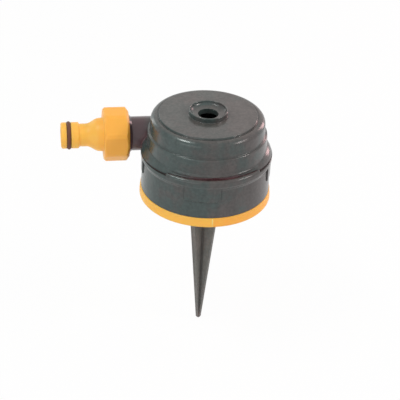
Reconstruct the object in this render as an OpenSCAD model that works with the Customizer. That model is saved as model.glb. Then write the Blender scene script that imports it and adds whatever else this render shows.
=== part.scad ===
// Whirl-chamber garden sprinkler on a ground spike, with a quick-connect hose adaptor.
// Water enters the round chamber off centre, spins, and leaves as a cone through the top nozzle.
// Origin: centre of the base ring's underside. +Z is up, and the inlet points along -X.
// All sizes are in millimetres.

/* [Base ring] */
// Outer diameter of the ring
ring_d = 80; // [74:1:90]
// Height of the ring's rim
ring_h = 5.8; // [5.4:0.2:8]
// How far the ring stands proud of the drum wall
ring_proud = 0.8; // [0.4:0.1:1.2]
// Thickness of the plate that closes the drum
plate_t = 2.2; // [1.6:0.1:3]
// Height of the spigot that centres the drum on the ring
spigot_h = 3; // [2:0.5:5]
// Depth of the spike socket's mouth below the plate
socket_drop = 2.8; // [2:0.1:3.2]
// Wall of the spike socket
socket_wall = 3.4; // [2.4:0.2:4.5]
// Number of ribs under the plate
base_ribs = 8; // [4:4:16]

/* [Lower housing] */
// Height from the ring's top to the drum's rim
drum_h = 25.2; // [23:0.2:28]
// Draft: how much wider the drum is at its foot
drum_draft = 0.8; // [0.2:0.1:1]
// How far the rim stands proud of the wall
rim_proud = 1.3; // [1:0.1:1.6]
// How far the pads stand proud of the wall
pad_proud = 0.9; // [0.7:0.1:1.2]
// Height of the rim's band
rim_h = 5.2; // [4:0.2:7]
// Thickness of the lip at the rim's top
rim_w = 2.6; // [2:0.1:3]
// Depth of the open channel inside the rim
channel_depth = 1.8; // [1.2:0.1:2.6]
// Number of raised pads around the drum
pad_count = 4; // [3:1:6]
// Direction of the first pad
pad_turn = -10.9; // [-14:0.1:-6]
// Sector, about each lobe, in which the rim has no lip
open_angle = 90; // [80:2:96]
// Width of a pad, as an angle
pad_angle = 31.6; // [20:0.2:40]
// Height of a pad, from the rim's top down
pad_h = 14.8; // [10:0.2:18]

/* [Upper housing] */
// Wall thickness of the mouldings
wall = 2.2; // [1.8:0.1:2.6]
// Open width between the rim's lip and the skirt
groove_w = 0.8; // [0.6:0.1:1.4]
// Height of the gap between the rim and the skirt
groove_h = 1; // [0.8:0.1:2]
// Height of the skirt, the wide lower tier
skirt_h = 11.3; // [9:0.1:14]
// How far the bead at the skirt's foot stands proud
bead = 0.6; // [0.3:0.1:1]
// Step from the skirt in to the cap
tier_step = 1.2; // [0.8:0.1:2]
// Height of the cap, the upper tier
cap_h = 11.1; // [9:0.1:13]
// Draft of each tier
tier_draft = 0.4; // [0.2:0.1:0.8]
// Radius of the cap's shoulder
shoulder_r = 3.8; // [2:0.1:5]
// How far the flat crown stands above the shoulder
crown_step = 0.9; // [0.4:0.05:1.2]
// Width of the ledge between the shoulder and the crown
ledge_w = 1; // [0.6:0.1:2]
// Reach of the two side lobes, from the body's axis
lobe_reach = 39.7; // [39.2:0.1:40.4]
// How far a lobe's own axis stands off the body's axis
lobe_offset = 4.5; // [4:0.1:5.4]
// Radius of a lobe's rounded side
lobe_round = 9; // [8:0.2:12]
// Number of ribs between the chamber and the outer skin
housing_ribs = 8; // [4:4:16]

/* [Nozzle] */
// Outer diameter of the boss around the nozzle
boss_d = 23.4; // [20:0.2:30]
// Height of the boss
boss_h = 3; // [1.8:0.1:4]
// Diameter of the nozzle's throat
nozzle_d = 12.2; // [8:0.2:14]
// Depth of the bowl around the throat
bowl_depth = 2.9; // [1.4:0.1:3.2]

/* [Whirl chamber] */
// Diameter of the chamber
chamber_d = 55; // [50:0.5:56]
// Height of the chamber's foot above the ring's top
chamber_foot = 8.4; // [7:0.2:9.6]
// Thickness of the chamber floor
floor_t = 5.8; // [4.8:0.2:6.4]
// Thickness of the floor's flange
flange_t = 2.2; // [1.6:0.1:3]
// Cord diameter of the floor's sealing ring
floor_cord = 1.8; // [1.4:0.1:2.4]

/* [Inlet] */
// Height of the inlet's axis above the ring's underside
inlet_h = 31.1; // [30:0.1:34]
// Bore of the inlet
inlet_bore = 15; // [12:0.5:15]
// Outer diameter of the inlet pipe
inlet_d = 20.8; // [19.4:0.2:21]
// Distance from the body's axis to the end of the pipe
inlet_reach = 56; // [54:0.2:62]
// Root diameter of the pipe thread
thread_root = 24.1; // [23:0.1:24.2]
// Crest diameter of the pipe thread
thread_crest = 26.4; // [26:0.1:26.5]
// Pitch of the pipe thread
thread_pitch = 1.814; // [1.6:0.002:2]
// Length of the threaded end
thread_len = 10.2; // [8:0.2:12]
// Length of the cone behind the thread
thread_cone = 2; // [1:0.2:3]

/* [Hose adaptor] */
// Nut size across its flats
nut_af = 31.2; // [30:0.1:34]
// Number of the nut's flats
nut_sides = 8; // [6:2:10]
// Diameter over the nut's rounded corners
nut_d = 32.8; // [31.6:0.1:36]
// Chamfer at the nut's mouth, along the axis
mouth_chamfer = 1.8; // [1:0.1:2.4]
// Chamfer at the nut's other end
back_chamfer = 1.1; // [0.6:0.1:1.6]
// Thickness of the nut's end wall
nut_end = 2.5; // [2:0.1:4]
// Thickness of the flat washer
washer_t = 2.4; // [1.6:0.1:3]
// Bore of the flat washer
washer_bore = 15.2; // [12:0.1:18]
// Diameter of the quick-connect nose
nose_d = 16; // [15:0.1:17]
// Length of the flare from the nut to the waist
flare_len = 10.4; // [8:0.1:13]
// Diameter of the flare where it meets the nut
flare_d = 20.8; // [18:0.2:24]
// Diameter of the locking waist
waist_d = 13.9; // [13:0.1:14.6]
// Length of the locking waist
waist_len = 4; // [3:0.1:6]
// Length of the barrel from the waist to the seal
barrel_len = 5.2; // [4:0.1:7]
// Length of the tip beyond the seal
tip_len = 3.4; // [3:0.1:4]
// Cord diameter of the nose's sealing ring
nose_cord = 2.5; // [2:0.1:3]
// How far the sealing ring stands proud of the nose
seal_proud = 0.6; // [0.3:0.1:0.9]
// Water bore of the nose
nose_bore = 9.8; // [8:0.1:10.4]

/* [Spike] */
// Length of the spike below the ring's underside
spike_len = 97; // [80:0.2:140]
// Width over the ribs at the top
spike_w = 23.2; // [18:0.2:28]
// Width over the ribs at the tip
tip_w = 2.6; // [2.4:0.1:6]
// Thickness of a rib
rib_t = 2; // [1.6:0.1:2.4]
// Thickness of the spike's collar
collar_t = 2; // [1.4:0.1:3]
// Diameter of the plug that fits the socket
plug_d = 16; // [13:0.5:17]

/* [Base screws] */
// Number of screws
screw_count = 4; // [4:2:8]
// Shank diameter of a screw
screw_d = 3.5; // [3:0.1:4]
// Length of a screw under its head
screw_len = 18; // [14:1:22]
// Diameter of a screw's head
head_d = 7; // [6:0.1:7.4]
// Height of a screw's head
head_h = 2.3; // [1.8:0.1:2.6]

/* [Fits] */
// Clearance between pieces that are assembled once
slip = 0.3; // [0.2:0.05:0.4]
// Radial clearance of the spike's plug in its socket
plug_fit = 0.06; // [0.03:0.01:0.09]
// Radial clearance of a screw in its boss
screw_fit = 0.05; // [0.03:0.01:0.1]
// Radial clearance of the nut over the thread's crests
thread_fit = 0.08; // [0.04:0.01:0.1]

/* [Hidden] */
$fn = 96;
eps = 0.01;

dark_green = [0.34, 0.38, 0.37];
amber = [0.95, 0.68, 0.30];
seal_brown = [0.33, 0.18, 0.18];
black_rubber = [0.12, 0.12, 0.12];
zinc = [0.72, 0.73, 0.75];

// Heights
ring_top = ring_h;
rim_z = ring_top + drum_h;
deck_z = rim_z - channel_depth;
skirt_z = rim_z + groove_h;
tier_z = skirt_z + skirt_h;
top_z = tier_z + cap_h;
boss_z = top_z + boss_h;
ceiling_z = top_z - wall - crown_step;
chamber_z = ring_top + chamber_foot;
floor_z = chamber_z + floor_t;
flange_z = chamber_z - flange_t;
plate_z = ring_top - plate_t;
socket_z = plate_z - socket_drop;

// Radii
ring_r = ring_d / 2;
drum_foot_r = ring_r - ring_proud;
drum_r = drum_foot_r - drum_draft;
rim_r = drum_r + rim_proud;
drum_in = drum_r - wall + 0.5;
skirt_r = rim_r - rim_w - groove_w;
skirt_top_r = skirt_r - tier_draft;
cap_r = skirt_top_r - tier_step;
cap_top_r = cap_r - tier_draft;
neck_r = skirt_r - wall;
chamber_r = chamber_d / 2;
tube_r = chamber_r + wall;
nozzle_r = nozzle_d / 2;
boss_r = boss_d / 2;
lobe_r = lobe_reach - lobe_offset;
seat_z = deck_z + 0.1;
lobe_foot = seat_z + slip;
lobe_mid = deck_z - 1.5;

// Inlet: its bore is tangent to the chamber's wall
inlet_y = chamber_r - inlet_bore / 2;
thread_start = inlet_reach - thread_len;
ridge_count = floor((thread_len - 1.2) / thread_pitch);
nut_bore = thread_crest + 2 * thread_fit;

// Screws: their bosses grow out of the chamber's wall
pilot_r = screw_d / 2 + screw_fit;
screw_pitch_r = tube_r + pilot_r;
screw_boss_r = pilot_r + 1.4;
screw_boss_z = ring_top + 0.8;
head_seat_z = plate_z - 0.4;
head_recess_r = head_d / 2 + slip;
base_boss_r = head_recess_r + 1.4;

// Nut: measured from its mouth outward
nut_mouth = thread_start - 0.2;
nut_depth = inlet_reach + washer_t - nut_mouth;
nut_len = nut_depth + nut_end;
waist_z = nut_len + flare_len;
barrel_z = waist_z + waist_len;
seal_z = barrel_z + barrel_len;
seal_gap = nose_cord + 0.2;
tip_z = seal_z + seal_gap + tip_len;
nose_r = nose_d / 2;
waist_r = waist_d / 2;
seal_r = nose_r + seal_proud - nose_cord / 2;
seal_land_r = seal_r - nose_cord / 2 - 0.05;

plug_r = plug_d / 2;
socket_r = plug_r + plug_fit;
plug_top = flange_z - slip;
spike_top = socket_z - collar_t;

// Points along an arc, for profiles
function arc(x, y, r, from, to, n = 6) =
    [for (i = [0:n]) [x + r * cos(from + (to - from) * i / n), y + r * sin(from + (to - from) * i / n)]];

// Copies its children at each screw boss
module at_screws(r = screw_pitch_r) {
    for (i = [0:screw_count - 1])
        rotate([0, 0, i * 360 / screw_count])
            translate([r, 0, 0])
                children();
}

// Turns its children to point out along the inlet, z = 0 at the body's axis
module along_inlet() {
    translate([0, inlet_y, inlet_h])
        rotate([0, -90, 0])
            children();
}

module tube(r_out, r_in, z_low, z_high) {
    translate([0, 0, z_low])
        difference() {
            cylinder(r = r_out, h = z_high - z_low);
            translate([0, 0, -1])
                cylinder(r = r_in, h = z_high - z_low + 2);
        }
}

// ---- Upper housing ----

// Outer skin: nozzle, boss, crown, cap, skirt and the neck that seats on the drum's deck
module skin_profile() {
    lip = 0.5;
    edge = 0.9;
    bowl_z = boss_z - bowl_depth;
    bowl_w = boss_r - 2 * lip - nozzle_r;
    crown_r = cap_top_r - shoulder_r;
    crown_edge_r = crown_r - ledge_w;
    shoulder_z = top_z - crown_step - shoulder_r;
    polygon(concat(
        [[nozzle_r, ceiling_z]],
        [for (i = [0:6]) [nozzle_r + bowl_w * sin(15 * i), bowl_z + (bowl_depth - lip) * (1 - cos(15 * i))]],
        arc(boss_r - lip, boss_z - lip, lip, 150, 0),
        [[boss_r + 0.1, top_z]],
        arc(crown_edge_r - 0.3, top_z - 0.3, 0.3, 90, 15, 4),
        [[crown_edge_r + 0.2, top_z - crown_step - 0.3]],
        arc(crown_r, shoulder_z, shoulder_r, 86, 0),
        [[cap_r, tier_z + 0.3], [cap_r + 0.3, tier_z]],
        arc(skirt_top_r - edge, tier_z - edge, edge, 90, 0, 4),
        [[skirt_r, skirt_z + 3 * bead]],
        arc(skirt_r, skirt_z + bead, bead, 60, -60),
        [[neck_r, skirt_z], [neck_r, deck_z], [neck_r - wall + 0.3, deck_z]],
        [[neck_r - wall + 0.3, skirt_z + wall], [skirt_r - wall, skirt_z + wall]],
        [[skirt_top_r - wall, tier_z - wall], [cap_r - wall, tier_z - wall]],
        [[cap_top_r - wall, ceiling_z]]));
}

// Copies its children to both sides of the body, onto a lobe's own axis
module at_lobes() {
    for (side = [0, 180])
        rotate([0, 0, side])
            translate([lobe_offset, 0, 0])
                children();
}

// The skirt swells out to each side and drops into the rim, so the housings can't turn
module lobes() {
    roof_z = skirt_z - 0.8;
    foot_turn = asin((lobe_foot - lobe_mid) / lobe_round);
    difference() {
        at_lobes()
            rotate_extrude()
                polygon(concat(
                    [[0, lobe_foot]],
                    arc(lobe_r - lobe_round, lobe_mid, lobe_round, foot_turn, 60, 8),
                    [[0, lobe_mid + lobe_round * sin(60)]]));
        at_lobes()
            translate([0, 0, lobe_foot - 1])
                cylinder(r = lobe_r - wall, h = roof_z - lobe_foot + 1);
        cylinder(r = neck_r - 0.1, h = top_z);
    }
}

// Ribs that join the chamber's wall to the outer skin
module housing_rib() {
    translate([chamber_r + 0.5, -0.8, skirt_z + wall])
        cube([cap_top_r - wall - chamber_r, 1.6, ceiling_z - skirt_z - wall + eps]);
}

module screw_boss() {
    translate([0, 0, screw_boss_z])
        cylinder(r = screw_boss_r, h = skirt_z + wall - screw_boss_z);
}

module screw_pilot() {
    translate([0, 0, screw_boss_z - 1])
        cylinder(r = pilot_r, h = head_seat_z + screw_len - screw_boss_z + 2);
}

// Thread ridges, drawn as rings: the nut's bore runs on their crests
function thread_ridges() =
    [for (i = [0:ridge_count - 1], p = [[thread_root, 0.05], [thread_crest, 0.4],
                                        [thread_crest, 0.6], [thread_root, 0.95]])
        [p[0] / 2, thread_start + 0.3 + (i + p[1]) * thread_pitch]];

module inlet_pipe() {
    root_r = thread_root / 2;
    along_inlet()
        rotate_extrude()
            polygon(concat(
                [[0, inlet_bore], [inlet_d / 2, inlet_bore]],
                [[inlet_d / 2, thread_start - thread_cone], [root_r, thread_start]],
                thread_ridges(),
                [[root_r, inlet_reach - 0.4], [root_r - 0.4, inlet_reach], [0, inlet_reach]]));
}

module upper_housing() {
    color(dark_green)
        difference() {
            union() {
                rotate_extrude()
                    skin_profile();
                lobes();
                tube(tube_r, chamber_r, chamber_z, ceiling_z + eps);
                for (i = [0:housing_ribs - 1])
                    rotate([0, 0, (i + 0.5) * 360 / housing_ribs])
                        housing_rib();
                at_screws()
                    screw_boss();
                inlet_pipe();
            }
            translate([0, 0, chamber_z - 1])
                cylinder(r = chamber_r, h = ceiling_z - chamber_z + 1);
            along_inlet()
                cylinder(d = inlet_bore, h = inlet_reach + 1);
            at_screws()
                screw_pilot();
        }
}

// ---- Lower housing ----

module drum_profile() {
    round_r = 1.8;
    band_z = rim_z - rim_h;
    polygon(concat(
        [[drum_in, ring_top], [drum_foot_r - 0.2, ring_top], [drum_foot_r, ring_top + 0.2]],
        [[drum_r, band_z - 1.6], [drum_r + rim_proud * 0.25, band_z - 0.6]],
        [[rim_r - rim_proud * 0.25, band_z + 0.4], [rim_r, band_z + 1.4]],
        arc(rim_r - round_r, rim_z - round_r, round_r, 0, 90),
        [[rim_r - rim_w, rim_z - 0.3], [rim_r - rim_w, deck_z]],
        [[tube_r + slip, deck_z], [tube_r + slip, deck_z - wall], [drum_in, deck_z - wall]]));
}

// One raised pad, hanging from the rim, with a bevelled foot
module pad() {
    low = rim_z - pad_h;
    rotate([0, 0, -pad_angle / 2])
        rotate_extrude(angle = pad_angle)
            polygon([[drum_r - 1, low], [drum_r, low], [drum_r + pad_proud, low + pad_proud],
                     [drum_r + pad_proud, rim_z - 2.4], [drum_r - 1, rim_z - 2.4]]);
}

// The notch that the inlet pipe drops into
module inlet_notch() {
    along_inlet() {
        cylinder(d = inlet_d + 2 * slip, h = ring_r);
        translate([0, -inlet_d / 2 - slip, 0])
            cube([rim_z, inlet_d + 2 * slip, ring_r]);
    }
}

// The parts of the rim's lip that give way to the lobes
module lobe_seats() {
    at_lobes()
        translate([0, 0, seat_z])
            cylinder(r = lobe_r + slip, h = rim_z);
    for (side = [0, 180])
        rotate([0, 0, side - open_angle / 2])
            rotate_extrude(angle = open_angle)
                translate([skirt_r, seat_z])
                    square([ring_r, rim_z]);
}

module lower_housing() {
    color(dark_green)
        difference() {
            union() {
                rotate_extrude()
                    drum_profile();
                for (i = [0:pad_count - 1])
                    rotate([0, 0, pad_turn + i * 360 / pad_count])
                        pad();
            }
            inlet_notch();
            lobe_seats();
            at_screws()
                translate([0, 0, deck_z - wall - 1])
                    cylinder(r = screw_boss_r + slip, h = wall + 2);
        }
}

// ---- Base ring ----

module rim_profile() {
    edge = 0.4;
    rim_top_r = ring_r - 0.4;
    spigot_r = drum_in - 0.1;
    polygon(concat(
        [[ring_r - 4, 0.6], [ring_r - 3.4, 0]],
        arc(ring_r - edge, edge, edge, -90, 0, 4),
        [[ring_r, ring_h * 0.3]],
        arc(rim_top_r - edge, ring_top - edge, edge, 5, 90, 4),
        [[spigot_r, ring_top], [spigot_r, ring_top + spigot_h - 0.5], [spigot_r - 0.5, ring_top + spigot_h]],
        [[spigot_r - 1.4, ring_top + spigot_h], [spigot_r - 1.4, ring_top], [0, ring_top], [0, plate_z]],
        [[ring_r - 4, plate_z]]));
}

module base_rib() {
    translate([socket_r + 1, -0.8, socket_z + 0.6])
        cube([ring_r - 4.5 - socket_r, 1.6, plate_z - socket_z - 0.6 + eps]);
}

module base_boss() {
    translate([0, 0, head_seat_z - head_h - 0.2])
        cylinder(r = base_boss_r, h = plate_z - head_seat_z + head_h + 0.2 + eps);
}

module base_hole() {
    translate([0, 0, -1])
        cylinder(r = head_recess_r, h = head_seat_z + 1);
    translate([0, 0, -1])
        cylinder(r = pilot_r + 0.2, h = ring_top + 2);
}

module base_ring() {
    color(amber)
        difference() {
            union() {
                rotate_extrude()
                    rim_profile();
                translate([0, 0, socket_z])
                    cylinder(r = socket_r + socket_wall, h = flange_z - socket_z);
                for (i = [0:base_ribs - 1])
                    rotate([0, 0, (i + 0.5) * 360 / base_ribs])
                        base_rib();
                at_screws()
                    base_boss();
            }
            translate([0, 0, -1])
                cylinder(r = socket_r, h = flange_z + 2);
            at_screws()
                base_hole();
        }
}

// ---- Chamber floor and its seal ----

floor_r = chamber_r - 0.08;
floor_groove_z = chamber_z + 1.8;
floor_groove_r = chamber_r - floor_cord - 0.05;

module chamber_floor() {
    color(dark_green)
        difference() {
            rotate_extrude()
                polygon([[0, flange_z], [tube_r, flange_z], [tube_r, chamber_z], [floor_r, chamber_z],
                         [floor_r, floor_groove_z], [floor_groove_r, floor_groove_z],
                         [floor_groove_r, floor_groove_z + floor_cord + 0.2],
                         [floor_r, floor_groove_z + floor_cord + 0.2],
                         [floor_r, floor_z - 0.5], [floor_r - 0.5, floor_z], [0, floor_z]]);
            at_screws()
                translate([0, 0, flange_z - 1])
                    cylinder(r = screw_boss_r + slip, h = flange_t + 1);
        }
}

module ring_seal(r, cord, z) {
    translate([0, 0, z])
        rotate_extrude()
            translate([r, 0])
                circle(d = cord, $fn = 32);
}

module floor_seal() {
    color(black_rubber)
        ring_seal(chamber_r - floor_cord / 2 - 0.02, floor_cord, floor_groove_z + floor_cord / 2 + 0.1);
}

// ---- Screws, driven in from below ----

module base_screw() {
    difference() {
        rotate_extrude()
            polygon(concat(
                [[0, head_seat_z - head_h]],
                arc(head_d / 2 - 1, head_seat_z - head_h + 1, 1, -90, 0, 4),
                [[head_d / 2, head_seat_z], [screw_d / 2, head_seat_z]],
                [[screw_d / 2, head_seat_z + screw_len - 3], [0.4, head_seat_z + screw_len]],
                [[0, head_seat_z + screw_len]]));
        for (turn = [0, 90])
            rotate([0, 0, turn])
                translate([-head_d * 0.28, -0.4, head_seat_z - head_h - 1])
                    cube([head_d * 0.56, 0.8, 2.2]);
    }
}

module base_screws() {
    color(zinc)
        at_screws()
            base_screw();
}

// ---- Spike ----

// A flat rib, wide at the top and narrow at the tip
module spike_rib() {
    rotate([90, 0, 0])
        linear_extrude(height = rib_t, center = true)
            polygon([[-spike_w / 2, spike_top + eps], [spike_w / 2, spike_top + eps],
                     [tip_w / 2, -spike_len + 0.6], [tip_w / 2 - 0.6, -spike_len],
                     [-tip_w / 2 + 0.6, -spike_len], [-tip_w / 2, -spike_len + 0.6]]);
}

module spike() {
    color(dark_green)
        union() {
            for (turn = [45, 135])
                rotate([0, 0, turn])
                    spike_rib();
            translate([0, 0, spike_top])
                cylinder(r = max(socket_r + socket_wall, spike_w / 2), h = collar_t);
            translate([0, 0, spike_top])
                cylinder(r = plug_r, h = plug_top - spike_top - 0.8);
            translate([0, 0, plug_top - 0.8 - eps])
                cylinder(r1 = plug_r, r2 = plug_r - 0.8, h = 0.8);
        }
}

// ---- Hose adaptor ----

// Places its children with z = 0 at the nut's mouth
module at_nut() {
    along_inlet()
        translate([0, 0, nut_mouth])
            children();
}

// Round envelope of the nut: chamfered at both ends, round at its corners
module nut_envelope() {
    mouth_r = nut_bore / 2 + 0.8;
    rotate_extrude()
        polygon([[0, 0], [mouth_r, 0], [nut_d / 2, mouth_chamfer], [nut_d / 2, nut_len - back_chamfer],
                 [nut_d / 2 - back_chamfer, nut_len], [0, nut_len]]);
}

module nut_blank() {
    intersection() {
        nut_envelope();
        rotate([0, 0, 180 / nut_sides])
            cylinder(r = nut_af / 2 / cos(180 / nut_sides), h = nut_len, $fn = nut_sides);
    }
}

// Flare, locking waist, barrel, seal groove and tip
module nose_profile() {
    flare_r = flare_d / 2;
    land = 2.6;
    drop = flare_r - waist_r;
    rise = 0.9;
    polygon(concat(
        [[0, nut_len - eps], [flare_r, nut_len - eps], [flare_r - 0.3, nut_len + land]],
        [for (i = [1:6]) [flare_r - 0.3 - (drop - 0.3) * (1 - cos(i * 30)) / 2,
                          nut_len + land + (flare_len - land) * i / 6]],
        [[waist_r, barrel_z], [nose_r, barrel_z + rise]],
        [[nose_r, seal_z], [seal_land_r, seal_z]],
        [[seal_land_r, seal_z + seal_gap], [nose_r, seal_z + seal_gap]],
        arc(nose_r - 1.2, tip_z - 1.2, 1.2, 0, 90),
        [[0, tip_z]]));
}

module hose_adaptor() {
    color(amber)
        at_nut()
            difference() {
                union() {
                    nut_blank();
                    rotate_extrude()
                        nose_profile();
                }
                translate([0, 0, -1])
                    cylinder(d = nut_bore, h = nut_depth + 1);
                translate([0, 0, -1])
                    cylinder(d = nose_bore, h = tip_z + 2);
            }
}

module adaptor_washer() {
    color(black_rubber)
        along_inlet()
            tube(nut_bore / 2 - slip, washer_bore / 2, inlet_reach, inlet_reach + washer_t);
}

module nose_seal() {
    color(seal_brown)
        at_nut()
            ring_seal(seal_r, nose_cord, seal_z + seal_gap / 2);
}

upper_housing();
lower_housing();
base_ring();
chamber_floor();
floor_seal();
base_screws();
spike();
hose_adaptor();
adaptor_washer();
nose_seal();
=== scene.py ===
"""Dresses the whirl-chamber sprinkler: moulded plastics, rubber seals, zinc screws, floor and light."""

import math

import bmesh
import bpy
from bpy.props import FloatProperty, FloatVectorProperty, PointerProperty
from bpy.types import Operator, Panel, PropertyGroup
from mathutils import Matrix, Vector
from mathutils.bvhtree import BVHTree


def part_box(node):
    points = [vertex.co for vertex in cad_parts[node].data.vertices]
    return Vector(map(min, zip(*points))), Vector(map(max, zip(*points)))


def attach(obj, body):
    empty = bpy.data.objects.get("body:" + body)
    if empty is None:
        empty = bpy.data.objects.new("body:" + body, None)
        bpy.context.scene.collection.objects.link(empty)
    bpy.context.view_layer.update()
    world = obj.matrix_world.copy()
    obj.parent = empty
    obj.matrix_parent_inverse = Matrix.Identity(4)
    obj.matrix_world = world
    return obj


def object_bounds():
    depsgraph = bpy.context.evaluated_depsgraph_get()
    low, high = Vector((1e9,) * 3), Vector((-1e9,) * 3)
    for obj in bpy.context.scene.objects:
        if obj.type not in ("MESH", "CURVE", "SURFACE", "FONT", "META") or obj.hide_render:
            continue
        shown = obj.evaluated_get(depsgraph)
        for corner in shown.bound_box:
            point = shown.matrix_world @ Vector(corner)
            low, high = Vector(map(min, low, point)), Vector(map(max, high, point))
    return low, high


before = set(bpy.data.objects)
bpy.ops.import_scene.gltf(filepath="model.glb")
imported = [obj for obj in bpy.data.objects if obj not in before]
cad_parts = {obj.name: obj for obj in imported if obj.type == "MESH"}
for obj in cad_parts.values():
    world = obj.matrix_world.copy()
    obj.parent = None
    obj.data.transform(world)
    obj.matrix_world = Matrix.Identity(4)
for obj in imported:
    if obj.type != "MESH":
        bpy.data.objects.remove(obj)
cad_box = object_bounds()

bl_info = {
    "name": "Whirl-chamber sprinkler",
    "version": (1, 0, 0),
    "blender": (4, 5, 0),
    "location": "View3D > Sidebar > Sprinkler",
    "description": "Dresses a garden sprinkler on a ground spike and sets its stage",
    "category": "Object",
}


# ---- Shader maths ----


class Socket:
    """One output socket of a node tree, or a number that feeds one, with arithmetic on it."""

    def __init__(self, tree, output):
        self.tree = tree
        self.output = output

    def _math(self, operation, *values):
        return node(self.tree, "ShaderNodeMath", {"operation": operation}, *values)["Value"]

    def __add__(self, other):
        return self._math("ADD", self, other)

    def __radd__(self, other):
        return self._math("ADD", other, self)

    def __sub__(self, other):
        return self._math("SUBTRACT", self, other)

    def __rsub__(self, other):
        return self._math("SUBTRACT", other, self)

    def __mul__(self, other):
        return self._math("MULTIPLY", self, other)

    def __rmul__(self, other):
        return self._math("MULTIPLY", other, self)

    def __truediv__(self, other):
        return self._math("DIVIDE", self, other)

    def __pow__(self, other):
        return self._math("POWER", self, other)

    def clamped(self):
        return self._math("MINIMUM", self._math("MAXIMUM", self, 0.0), 1.0)

    def between(self, low, high):
        """0 below low, 1 above high, smooth between."""
        sockets = {"Value": self, "From Min": low, "From Max": high}
        return node(self.tree, "ShaderNodeMapRange", {"interpolation_type": "SMOOTHSTEP"}, **sockets)["Result"]


def plug(tree, socket, value):
    """Links a socket to an input, or sets the input to a plain value."""
    if isinstance(value, Socket):
        tree.links.new(value.output, socket)
    else:
        socket.default_value = value


def feed(tree, made, **values):
    """Feeds a node's inputs by name, with _ for a space."""
    for name, value in values.items():
        plug(tree, made.inputs[name.replace("_", " ")], value)


def node(tree, kind, settings=None, *values, **sockets):
    """Adds a node, sets it up, feeds its inputs by order or by name, and returns its outputs by name."""
    made = tree.nodes.new(kind)
    for key, value in (settings or {}).items():
        setattr(made, key, value)
    for place, value in enumerate(values):
        plug(tree, made.inputs[place], value)
    feed(tree, made, **sockets)
    return {output.name: Socket(tree, output) for output in made.outputs if output.enabled}


def mix_colour(tree, factor, a, b):
    """Colour a where factor is 0, b where it is 1. A Mix node keeps its colour sockets at 6, 7 and output 2."""
    made = tree.nodes.new("ShaderNodeMix")
    made.data_type = "RGBA"
    for place, value in ((0, factor), (6, a), (7, b)):
        plug(tree, made.inputs[place], value)
    return Socket(tree, made.outputs[2])


def shade(colour, factor):
    """A colour made lighter or darker, as four numbers."""
    return (*[min(max(channel * factor, 0.0), 1.0) for channel in colour[:3]], 1.0)


# ---- Sizes and colours ----


class HousingSettings(PropertyGroup):
    colour: FloatVectorProperty(
        name="Housing colour",
        description="Colour of the dark moulded plastic",
        subtype="COLOR",
        size=3,
        default=(0.048, 0.069, 0.066),
        min=0,
        max=1,
    )
    # Also the colour of the painted warm light towards +X.
    warm_colour: FloatVectorProperty(
        name="Faded colour",
        description="Browner colour of the patches that have faded",
        subtype="COLOR",
        size=3,
        default=(0.078, 0.065, 0.063),
        min=0,
        max=1,
    )
    # Dark reddish colour of the painted shade in recesses.
    recess_shade_colour: FloatVectorProperty(
        name="Grime colour",
        description="Colour of the damp grime in corners",
        subtype="COLOR",
        size=3,
        default=(0.05, 0.03, 0.032),
        min=0,
        max=1,
    )
    # Paler, warmer colour of the painted light on surfaces that face up.
    top_light_colour: FloatVectorProperty(
        name="Settled dust colour",
        description="Colour of the thin dust that lies on level surfaces",
        subtype="COLOR",
        size=3,
        default=(0.108, 0.088, 0.08),
        min=0,
        max=1,
    )
    # Pale maroon of the painted light deep in grooves and holes.
    hollow_light_colour: FloatVectorProperty(
        name="Deep dust colour",
        description="Colour of the dried dust deep in grooves and holes",
        subtype="COLOR",
        size=3,
        default=(0.36, 0.16, 0.18),
        min=0,
        max=1,
    )
    # Dark reddish colour of the painted shade on the inlet pipe.
    pipe_shade_colour: FloatVectorProperty(
        name="Stain colour",
        description="Colour of the inlet pipe where water has dried on it",
        subtype="COLOR",
        size=3,
        default=(0.095, 0.047, 0.056),
        min=0,
        max=1,
    )
    roughness: FloatProperty(
        name="Roughness", description="How matt the moulded plastic is", default=0.2, min=0.05, max=1
    )
    grain: FloatProperty(
        name="Grain",
        description="Width of one grain of the mould's eroded texture",
        unit="LENGTH",
        default=0.0009,
        min=0.0002,
        max=0.004,
    )
    edge: FloatProperty(
        name="Edge radius",
        description="Radius of the small moulded edges",
        unit="LENGTH",
        default=0.0005,
        min=0.0001,
        max=0.001,
    )


class AmberSettings(PropertyGroup):
    colour: FloatVectorProperty(
        name="Amber colour",
        description="Colour of the ring and the hose adaptor",
        subtype="COLOR",
        size=3,
        default=(0.95, 0.44, 0.055),
        min=0,
        max=1,
    )
    # Yellower colour used on the -X side of the split.
    yellow_side_colour: FloatVectorProperty(
        name="Late amber colour",
        description="Yellower colour of the side that the melt reached last",
        subtype="COLOR",
        size=3,
        default=(0.95, 0.5, 0.07),
        min=0,
        max=1,
    )
    seam_colour: FloatVectorProperty(
        name="Seam colour",
        description="Pale colour of the ring's raised seam",
        subtype="COLOR",
        size=3,
        default=(0.95, 0.66, 0.24),
        min=0,
        max=1,
    )
    roughness: FloatProperty(
        name="Roughness", description="How matt the amber plastic is", default=0.42, min=0.05, max=1
    )
    nut_wall: FloatProperty(
        name="Nut wall",
        description="Thickness of the nut's end wall, where the nose begins",
        unit="LENGTH",
        default=0.0025,
        min=0.001,
        max=0.005,
    )
    seam_width: FloatProperty(
        name="Seam width",
        description="Width of the moulding seam",
        unit="LENGTH",
        default=0.0007,
        min=0.0002,
        max=0.001,
    )
    seam_turn: FloatProperty(
        name="Seam direction",
        description="Direction of the ring's seam, counted from +X",
        subtype="ANGLE",
        default=math.radians(-91.3),
    )


class RubberSettings(PropertyGroup):
    nose_colour: FloatVectorProperty(
        name="Nose seal colour",
        description="Colour of the sealing ring on the nose",
        subtype="COLOR",
        size=3,
        default=(0.11, 0.037, 0.018),
        min=0,
        max=1,
    )
    inner_colour: FloatVectorProperty(
        name="Inner seal colour",
        description="Colour of the hidden washer and seal",
        subtype="COLOR",
        size=3,
        default=(0.02, 0.02, 0.021),
        min=0,
        max=1,
    )


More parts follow.
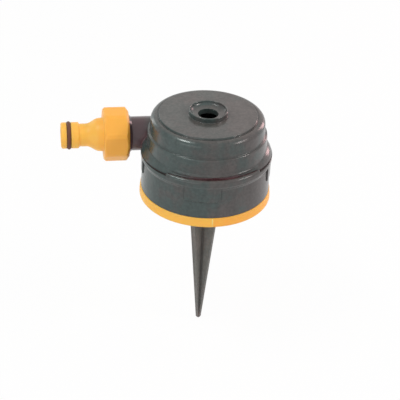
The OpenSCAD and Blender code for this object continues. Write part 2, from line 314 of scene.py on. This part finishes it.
class SpikeSettings(PropertyGroup):
    colour: FloatVectorProperty(
        name="Spike colour",
        description="Colour of the ground spike",
        subtype="COLOR",
        size=3,
        default=(0.14, 0.142, 0.132),
        min=0,
        max=1,
    )
    # Also the colour of the painted warm light towards +X.
    warm_colour: FloatVectorProperty(
        name="Faded colour",
        description="Browner colour of the patches that have faded",
        subtype="COLOR",
        size=3,
        default=(0.15, 0.138, 0.132),
        min=0,
        max=1,
    )
    roughness: FloatProperty(name="Roughness", description="How matt the spike is", default=0.55, min=0.05, max=1)


class StageSettings(PropertyGroup):
    floor_drop: FloatProperty(
        name="Floor drop",
        description="Distance from the spike's tip down to the floor",
        unit="LENGTH",
        default=0.0005,
        min=0,
        max=0.5,
    )
    aim: FloatVectorProperty(
        name="Camera target",
        description="Point the camera looks at",
        subtype="XYZ",
        unit="LENGTH",
        size=3,
        default=(-0.00488, -0.0147, 0.00319),
    )
    azimuth: FloatProperty(
        name="Camera azimuth", description="0 looks along +Y", subtype="ANGLE", default=math.radians(-9.2)
    )
    elevation: FloatProperty(
        name="Camera elevation", description="Above the horizon", subtype="ANGLE", default=math.radians(32.7)
    )
    roll: FloatProperty(
        name="Camera roll",
        description="Tilt of the camera about its view",
        subtype="ANGLE",
        default=math.radians(2.76),
    )
    distance: FloatProperty(
        name="Camera distance", description="From the target", unit="LENGTH", default=0.8, min=0.3, max=3
    )
    lens: FloatProperty(name="Lens", description="Focal length in millimetres", default=119.1, min=20, max=300)
    sky: FloatProperty(
        name="Sky strength", description="Strength of the white surround", default=0.58, min=0, max=1.5
    )
    key: FloatProperty(name="Key strength", description="Watts of a lamp whose share is 1", default=2.4, min=0)


# ---- Materials ----

CREASE_REACH = 0.0018  # how near a wall has to be for painted shade to darken a crease
RECESS_REACH = 0.012  # how near walls have to be for the painted shade and painted light of recesses
UNSHADED_CROWN_DEPTH = 0.005  # depth below the nozzle's rim above which the painted crease shade is mostly left off the crown
PIPE_FADE = (0.0105, 0.0135)  # distances from the pipe's axis between which its painted shade fades
WARMTH_ACROSS = 3.0  # how much warmer the plastic is painted towards +X, per metre: a painted warm light on that side

def new_material(name):
    """An empty procedural material: its tree, its shader's inputs and its place in the row's frame."""
    material = bpy.data.materials.new(name)
    material.use_nodes = True
    tree = material.node_tree
    tree.nodes.clear()
    out = tree.nodes.new("ShaderNodeOutputMaterial")
    shader = tree.nodes.new("ShaderNodeBsdfPrincipled")
    tree.links.new(shader.outputs["BSDF"], out.inputs["Surface"])
    place = node(tree, "ShaderNodeTexCoord")["Object"]
    return material, tree, shader, place


def noise(tree, place, size, detail=2.0, roughness=0.5):
    """Soft noise with features of about that size in metres, from 0 to 1."""
    return node(
        tree, "ShaderNodeTexNoise", None, Vector=place, Scale=0.5 / size, Detail=detail, Roughness=roughness
    )["Fac"]


def soft_edges(tree, radius):
    """The surface's normal with its sharp edges rounded, and a mask of those edges."""
    rounded = node(tree, "ShaderNodeBevel", {"samples": 6}, Radius=radius)["Normal"]
    true = node(tree, "ShaderNodeNewGeometry")["Normal"]
    along = node(tree, "ShaderNodeVectorMath", {"operation": "DOT_PRODUCT"}, rounded, true)["Value"]
    return rounded, (1.0 - along).between(0.01, 0.12)


def shut_in(tree, reach):
    """How much of the view round a point is closed off within that reach, from 0 to 1."""
    return 1.0 - node(tree, "ShaderNodeAmbientOcclusion", {"samples": 8}, Distance=reach)["AO"]


def facing_up(tree):
    """How far the surface faces up, 1 where it lies flat."""
    normal = node(tree, "ShaderNodeNewGeometry")["Normal"]
    return node(tree, "ShaderNodeSeparateXYZ", None, normal)["Z"]


def pipe_shade(parts):
    """1 on the inlet pipe, where a reddish shade is painted, 0 on the body."""
    low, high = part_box("adaptor_washer")
    centre = (low + high) / 2
    across, above = parts["Y"] - centre.y, parts["Z"] - centre.z
    near = (across * across + above * above) ** 0.5
    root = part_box("base_ring")[0].x
    return (1.0 - near.between(*PIPE_FADE)) * (1.0 - parts["X"].between(root * 0.95, root * 0.75))


def eroded_plastic(name, made, colour, warm_colour, roughness):
    """Polypropylene from a spark-eroded mould: fine grain, flow marks, faded patches, edges paler from wear and a
    painted highlight, painted shade in its corners, creases and inlet pipe, and painted light deep in its hollows, on
    its tops and towards +X.
    """
    material, tree, shader, place = new_material(name)
    grain = made.grain
    fine = noise(tree, place, grain, 3.0, 0.6)
    cells = node(tree, "ShaderNodeTexVoronoi", None, Vector=place, Scale=0.6 / grain)["Distance"]
    cloud = noise(tree, place, 0.009, 3.0, 0.55)
    flow_place = node(tree, "ShaderNodeMapping", None, Vector=place, Scale=(1.0, 1.0, 0.25))["Vector"]
    flow = noise(tree, flow_place, 0.0028, 2.0)
    rounded, edges = soft_edges(tree, made.edge)
    tone = (cloud - 0.5) * 0.6 + (flow - 0.5) * 1.0 + (fine - 0.5) * 1.5 + 0.5
    parts = node(tree, "ShaderNodeSeparateXYZ", None, place)
    # Warm patches at random, which are faded plastic, and a painted warm light that grows towards +X.
    faded = (noise(tree, place, 0.011, 4.0, 0.65) + parts["X"] * WARMTH_ACROSS).between(0.38, 0.62) * 0.85
    tinted = mix_colour(tree, faded, (*colour, 1.0), (*warm_colour, 1.0))
    # Painted light: surfaces that face up are mixed towards a paler, warmer colour, broken by the grain.
    top_light = facing_up(tree).between(0.8, 0.99) * (0.3 + fine * 0.4)
    tinted = mix_colour(tree, top_light, tinted, (*made.top_light_colour, 1.0))
    value = 0.72 + tone.clamped() * 0.56
    body = node(tree, "ShaderNodeVectorMath", {"operation": "SCALE"}, tinted, Scale=value)["Vector"]
    # Painted shade: the inlet pipe is mixed towards a dark reddish colour.
    pipe_shaded = mix_colour(tree, pipe_shade(parts) * 0.8, body, (*made.pipe_shade_colour, 1.0))
    nozzle_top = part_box("upper_housing")[1].z
    # Below the crown the creases keep their painted shade; on the crown they keep only a tenth of it.
    below_crown = 1.0 - parts["Z"].between(nozzle_top - UNSHADED_CROWN_DEPTH, nozzle_top - UNSHADED_CROWN_DEPTH + 0.001) * 0.9
    # Painted shade: near a wall, creases are mixed towards a darker copy of the colour.
    crease = shut_in(tree, CREASE_REACH).between(0.03, 0.3) * below_crown * 0.75
    crease_shaded = mix_colour(tree, crease, pipe_shaded, shade(colour, 0.35))
    shut = shut_in(tree, RECESS_REACH)
    # Painted shade: recesses are mixed towards a dark reddish colour.
    recess_shaded = mix_colour(tree, shut.between(0.35, 0.9) * 0.5, crease_shaded, (*made.recess_shade_colour, 1.0))
    # Painted light: deep in grooves and holes the colour is mixed towards a pale maroon, lighter than their shade.
    hollow_lit = mix_colour(tree, shut.between(0.5, 0.86), recess_shaded, (*made.hollow_light_colour, 1.0))
    # Edges are paler: rubbed wear and a painted highlight along them.
    worn_and_highlit = mix_colour(tree, edges * (0.15 + fine * 0.3), hollow_lit, shade(colour, 1.6))
    bumped = node(
        tree, "ShaderNodeBump", None, Strength=0.16, Distance=grain * 0.25, Height=fine + cells * 0.5, Normal=rounded
    )["Normal"]
    rough = (roughness + (cloud - 0.5) * 0.12 + (fine - 0.5) * 0.1 - edges * 0.1).clamped()
    feed(tree, shader, Base_Color=worn_and_highlit, Roughness=rough, Normal=bumped, Specular_IOR_Level=0.45)
    return material


def amber_plastic(name, made, split):
    """Acetal: smooth and even, with faint flow clouds, and yellower on the side of split towards -X."""
    material, tree, shader, place = new_material(name)
    cloud = noise(tree, place, 0.006, 3.0)
    fine = noise(tree, place, 0.0006, 2.0)
    rounded, edges = soft_edges(tree, 0.0012)
    along = node(tree, "ShaderNodeSeparateXYZ", None, place)["X"]
    orange_side = along.between(split - 0.0004, split + 0.0004)
    base = mix_colour(tree, orange_side, (*made.yellow_side_colour, 1.0), (*made.colour, 1.0))
    value = 0.95 + (cloud * 0.8 + fine * 0.2).clamped() * 0.1
    body = node(tree, "ShaderNodeVectorMath", {"operation": "SCALE"}, base, Scale=value)["Vector"]
    # Painted highlight: edges are mixed towards a pale yellow.
    highlit_edges = mix_colour(tree, edges * 0.2, body, (1.0, 0.62, 0.2, 1.0))
    bumped = node(tree, "ShaderNodeBump", None, Strength=0.06, Distance=0.0002, Height=fine, Normal=rounded)["Normal"]
    rough = (made.roughness + (cloud - 0.5) * 0.1 + (fine - 0.5) * 0.06).clamped()
    feed(tree, shader, Base_Color=highlit_edges, Roughness=rough, Normal=bumped)
    feed(tree, shader, Subsurface_Weight=0.3, Subsurface_Scale=0.003, Subsurface_Radius=(1.0, 0.5, 0.12))
    return material


def matt_skin(name, colour):
    """Moulded rubber, or the matt skin of a seam: dull, with a fine bloom."""
    material, tree, shader, place = new_material(name)
    bloom = noise(tree, place, 0.0012, 3.0, 0.6)
    body = mix_colour(tree, bloom, shade(colour, 0.85), shade(colour, 1.25))
    bumped = node(tree, "ShaderNodeBump", None, Strength=0.12, Distance=0.0001, Height=bloom)["Normal"]
    feed(tree, shader, Base_Color=body, Roughness=(0.5 + bloom * 0.25).clamped(), Normal=bumped)
    return material


def zinc(name):
    """Zinc-plated steel with fine brushing round the head."""
    material, tree, shader, place = new_material(name)
    brushed = noise(tree, place, 0.0003, 4.0, 0.7)
    cloud = noise(tree, place, 0.002)
    body = mix_colour(tree, cloud, (0.55, 0.56, 0.58, 1.0), (0.72, 0.72, 0.7, 1.0))
    bumped = node(tree, "ShaderNodeBump", None, Strength=0.2, Distance=0.0001, Height=brushed)["Normal"]
    feed(tree, shader, Base_Color=body, Metallic=1.0, Roughness=(0.22 + brushed * 0.2).clamped(), Normal=bumped)
    return material


def clothe(material, *names):
    """Gives CAD nodes this material."""
    for name in names:
        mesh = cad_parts[name].data
        mesh.materials.clear()
        mesh.materials.append(material)


# ---- Pieces ----

SEAM_PROUD = 0.0001  # height of the ring's seam over the rim, less where the rim is widest
SEAM_HEIGHTS = (0.09, 0.3, 0.45, 0.62, 0.8, 0.93)  # where the seam is fitted to the rim, in shares of its height

def mesh_piece(name, build, material, body):
    """A new object from a bmesh that build fills, riding on a body."""
    mesh = bpy.data.meshes.new(name)
    bm = bmesh.new()
    build(bm)
    bmesh.ops.recalc_face_normals(bm, faces=bm.faces)
    bm.to_mesh(mesh)
    bm.free()
    mesh.shade_smooth()
    mesh.materials.append(material)
    piece = bpy.data.objects.new(name, mesh)
    bpy.context.scene.collection.objects.link(piece)
    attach(piece, body)
    return piece


def seam_along(path, side, out, width, proud):
    """Fills a bmesh with a low rounded seam that follows a path, half sunk in the surface."""

    def build(bm):
        rows = []
        for point, outward in zip(path, out):
            row = []
            for step in range(7):
                angle = math.pi * step / 6
                lift = outward * (math.sin(angle) * proud * 2 - proud)
                row.append(bm.verts.new(point + side * (math.cos(angle) * width / 2) + lift))
            rows.append(row)
        for a, b in zip(rows, rows[1:]):
            for i in range(6):
                bm.faces.new((a[i], a[i + 1], b[i + 1], b[i]))
            bm.faces.new((a[6], a[0], b[0], b[6]))
        bm.faces.new(rows[0])
        bm.faces.new(rows[-1])

    return build


class SPRINKLER_OT_housing(Operator):
    """Moulded dark plastic on the housing's two halves and the chamber floor"""

    bl_idname = "sprinkler.housing"
    bl_label = "Dress the housing"

    def execute(self, context):
        made = context.scene.sprinkler_housing
        plastic = eroded_plastic(
            "housing_plastic",
            made,
            made.colour,
            made.warm_colour,
            made.roughness,
        )
        clothe(plastic, "upper_housing", "lower_housing", "chamber_floor")
        return {"FINISHED"}


class SPRINKLER_OT_ring(Operator):
    """Amber plastic on the base ring, with the seam across its rim"""

    bl_idname = "sprinkler.ring"
    bl_label = "Dress the base ring"

    def execute(self, context):
        made = context.scene.sprinkler_amber
        clothe(amber_plastic("ring_amber", made, 0.0), "base_ring")
        low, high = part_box("base_ring")
        widest = (high.x - low.x) / 2
        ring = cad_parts["base_ring"].data
        surface = BVHTree.FromPolygons([v.co for v in ring.vertices], [p.vertices for p in ring.polygons])
        outward = Vector((math.cos(made.seam_turn), math.sin(made.seam_turn), 0))
        side = Vector((-outward.y, outward.x, 0))
        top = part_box("lower_housing")[0].z
        path = []
        for share in SEAM_HEIGHTS:
            level = Vector((0, 0, top * share))
            hit = surface.ray_cast(outward * 2 * widest + level, -outward)[0]
            crest = min((hit - level).length + SEAM_PROUD, widest)
            path.append(outward * (crest - SEAM_PROUD) + level)
        build = seam_along(path, side, [outward] * len(path), made.seam_width, SEAM_PROUD)
        mesh_piece("ring_seam", build, matt_skin("seam_amber", made.seam_colour), "head")
        return {"FINISHED"}


class SPRINKLER_OT_adaptor(Operator):
    """Amber plastic on the hose adaptor"""

    bl_idname = "sprinkler.adaptor"
    bl_label = "Dress the hose adaptor"

    def execute(self, context):
        made = context.scene.sprinkler_amber
        nut_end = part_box("adaptor_washer")[0].x - made.nut_wall
        clothe(amber_plastic("adaptor_amber", made, nut_end), "hose_adaptor")
        return {"FINISHED"}


class SPRINKLER_OT_seals(Operator):
    """Rubber on the nose's ring, the washer and the chamber's seal"""

    bl_idname = "sprinkler.seals"
    bl_label = "Dress the seals"

    def execute(self, context):
        made = context.scene.sprinkler_rubber
        clothe(matt_skin("nose_rubber", made.nose_colour), "nose_seal")
        clothe(matt_skin("inner_rubber", made.inner_colour), "adaptor_washer", "floor_seal")
        return {"FINISHED"}


class SPRINKLER_OT_spike(Operator):
    """Moulded plastic on the ground spike"""

    bl_idname = "sprinkler.spike"
    bl_label = "Dress the spike"

    def execute(self, context):
        made = context.scene.sprinkler_spike
        moulded = context.scene.sprinkler_housing
        plastic = eroded_plastic("spike_plastic", moulded, made.colour, made.warm_colour, made.roughness)
        clothe(plastic, "spike")
        return {"FINISHED"}


class SPRINKLER_OT_screws(Operator):
    """Zinc plate on the screws under the base"""

    bl_idname = "sprinkler.screws"
    bl_label = "Dress the screws"

    def execute(self, context):
        clothe(zinc("screw_zinc"), "base_screws")
        return {"FINISHED"}


# ---- Stage ----

LAMP_DISTANCE = 0.95
FLOOR_RADIUS = 2.5
# Each lamp's name, turn from the camera and height in degrees, size in metres, share of the key and colour
LAMPS = (
    ("left_key", -66, 63, (0.34, 0.1), 1.0, (0.95, 1.0, 0.97)),
    ("low_fill", -30, 4, (0.7, 0.4), 0.55, (1.0, 0.98, 0.96)),
    ("right_key", 78, 37, (0.32, 0.1), 1.0, (1.0, 0.9, 0.88)),
    ("left_edge", -135, 15, (0.2, 0.5), 0.35, (1.0, 0.98, 0.96)),
    ("right_edge", 135, 15, (0.2, 0.5), 0.9, (1.0, 0.62, 0.62)),
)

def softbox(name, place, aim, size, watts, colour=(1.0, 1.0, 1.0)):
    """An area light at a place, turned to its aim."""
    light = bpy.data.lights.new(name, "AREA")
    light.shape = "RECTANGLE"
    light.size, light.size_y = size
    light.energy = watts
    light.color = colour
    lamp = bpy.data.objects.new(name, light)
    lamp.location = place
    lamp.rotation_euler = (Vector(aim) - Vector(place)).to_track_quat("-Z", "Y").to_euler()
    bpy.context.scene.collection.objects.link(lamp)
    return lamp


class SPRINKLER_OT_stage(Operator):
    """Pale floor, white surround, softboxes and the camera"""

    bl_idname = "sprinkler.stage"
    bl_label = "Set the stage"

    def execute(self, context):
        made = context.scene.sprinkler_stage
        self.floor(context, made)
        self.surround(context, made)
        middle = (cad_box[0] + cad_box[1]) / 2
        front = made.azimuth - math.pi / 2
        for name, turn, height, size, share, colour in LAMPS:
            around, above = front + math.radians(turn), math.radians(height)
            away = Vector((math.cos(around) * math.cos(above), math.sin(around) * math.cos(above), math.sin(above)))
            softbox(name, away * LAMP_DISTANCE + middle, middle, size, made.key * share, colour)
        self.camera(context, made)
        return {"FINISHED"}

    def floor(self, context, made):
        mesh = bpy.data.meshes.new("floor")
        low = cad_box[0].z - made.floor_drop
        bm = bmesh.new()
        level = Matrix.Translation((0, 0, low))
        bmesh.ops.create_circle(bm, cap_ends=True, radius=FLOOR_RADIUS, segments=64, matrix=level)
        bm.to_mesh(mesh)
        bm.free()
        material, tree, shader, place = new_material("pale_floor")
        feed(tree, shader, Base_Color=(0.86, 0.86, 0.86, 1.0), Roughness=0.9, Specular_IOR_Level=0.1)
        rays = node(tree, "ShaderNodeLightPath")
        glow = node(tree, "ShaderNodeEmission", None, Color=(1.0, 1.0, 1.0, 1.0), Strength=1.0)["Emission"]
        seen = (rays["Is Camera Ray"] + rays["Is Glossy Ray"] + rays["Is Transmission Ray"]).clamped() * 0.95
        mixed = node(tree, "ShaderNodeMixShader", None, seen, Socket(tree, shader.outputs["BSDF"]), glow)["Shader"]
        tree.links.new(mixed.output, tree.nodes["Material Output"].inputs["Surface"])
        mesh.materials.append(material)
        floor = bpy.data.objects.new("floor", mesh)
        context.scene.collection.objects.link(floor)

    def surround(self, context, made):
        world = bpy.data.worlds.new("white_surround")
        context.scene.world = world
        world.use_nodes = True
        tree = world.node_tree
        tree.nodes.clear()
        rays = node(tree, "ShaderNodeLightPath")
        seen = (rays["Is Camera Ray"] + rays["Is Glossy Ray"] + rays["Is Transmission Ray"]).clamped()
        strength = made.sky + seen * (1.0 - made.sky)
        sky = node(tree, "ShaderNodeBackground", None, Color=(1.0, 1.0, 1.0, 1.0), Strength=strength)["Background"]
        out = tree.nodes.new("ShaderNodeOutputWorld")
        tree.links.new(sky.output, out.inputs["Surface"])

    def camera(self, context, made):
        data = bpy.data.cameras.new("camera")
        data.lens = made.lens
        data.clip_start, data.clip_end = 0.01, 20
        camera = bpy.data.objects.new("camera", data)
        turn = Matrix.Rotation(made.azimuth, 4, "Z") @ Matrix.Rotation(math.pi / 2 - made.elevation, 4, "X")
        turn = turn @ Matrix.Rotation(made.roll, 4, "Z")
        camera.matrix_world = Matrix.Translation(made.aim) @ turn @ Matrix.Translation((0, 0, made.distance))
        context.scene.collection.objects.link(camera)
        context.scene.camera = camera


# ---- Panel and registration ----

STEPS = (
    SPRINKLER_OT_housing,
    SPRINKLER_OT_ring,
    SPRINKLER_OT_adaptor,
    SPRINKLER_OT_seals,
    SPRINKLER_OT_spike,
    SPRINKLER_OT_screws,
    SPRINKLER_OT_stage,
)
SETTINGS = {
    "sprinkler_housing": HousingSettings,
    "sprinkler_amber": AmberSettings,
    "sprinkler_rubber": RubberSettings,
    "sprinkler_spike": SpikeSettings,
    "sprinkler_stage": StageSettings,
}


class SPRINKLER_PT_panel(Panel):
    """Lists the sprinkler's settings and steps"""

    bl_idname = "SPRINKLER_PT_panel"
    bl_label = "Sprinkler"
    bl_space_type = "VIEW_3D"
    bl_region_type = "UI"
    bl_category = "Sprinkler"

    def draw(self, context):
        layout = self.layout
        for name, group in SETTINGS.items():
            box = layout.box()
            for prop in group.__annotations__:
                box.prop(getattr(context.scene, name), prop)
        for step in STEPS:
            layout.operator(step.bl_idname)


def register():
    for group in SETTINGS.values():
        bpy.utils.register_class(group)
    for name, group in SETTINGS.items():
        setattr(bpy.types.Scene, name, PointerProperty(type=group))
    for step in STEPS:
        bpy.utils.register_class(step)
    bpy.utils.register_class(SPRINKLER_PT_panel)


def unregister():
    bpy.utils.unregister_class(SPRINKLER_PT_panel)
    for step in reversed(STEPS):
        bpy.utils.unregister_class(step)
    for name, group in SETTINGS.items():
        delattr(bpy.types.Scene, name)
        bpy.utils.unregister_class(group)


def main():
    register()
    bpy.context.scene.view_settings.view_transform = "Standard"
    bpy.ops.sprinkler.housing()
    bpy.ops.sprinkler.ring()
    bpy.ops.sprinkler.adaptor()
    bpy.ops.sprinkler.seals()
    bpy.ops.sprinkler.spike()
    bpy.ops.sprinkler.screws()
    bpy.ops.sprinkler.stage()


if __name__ == "__main__":
    main()
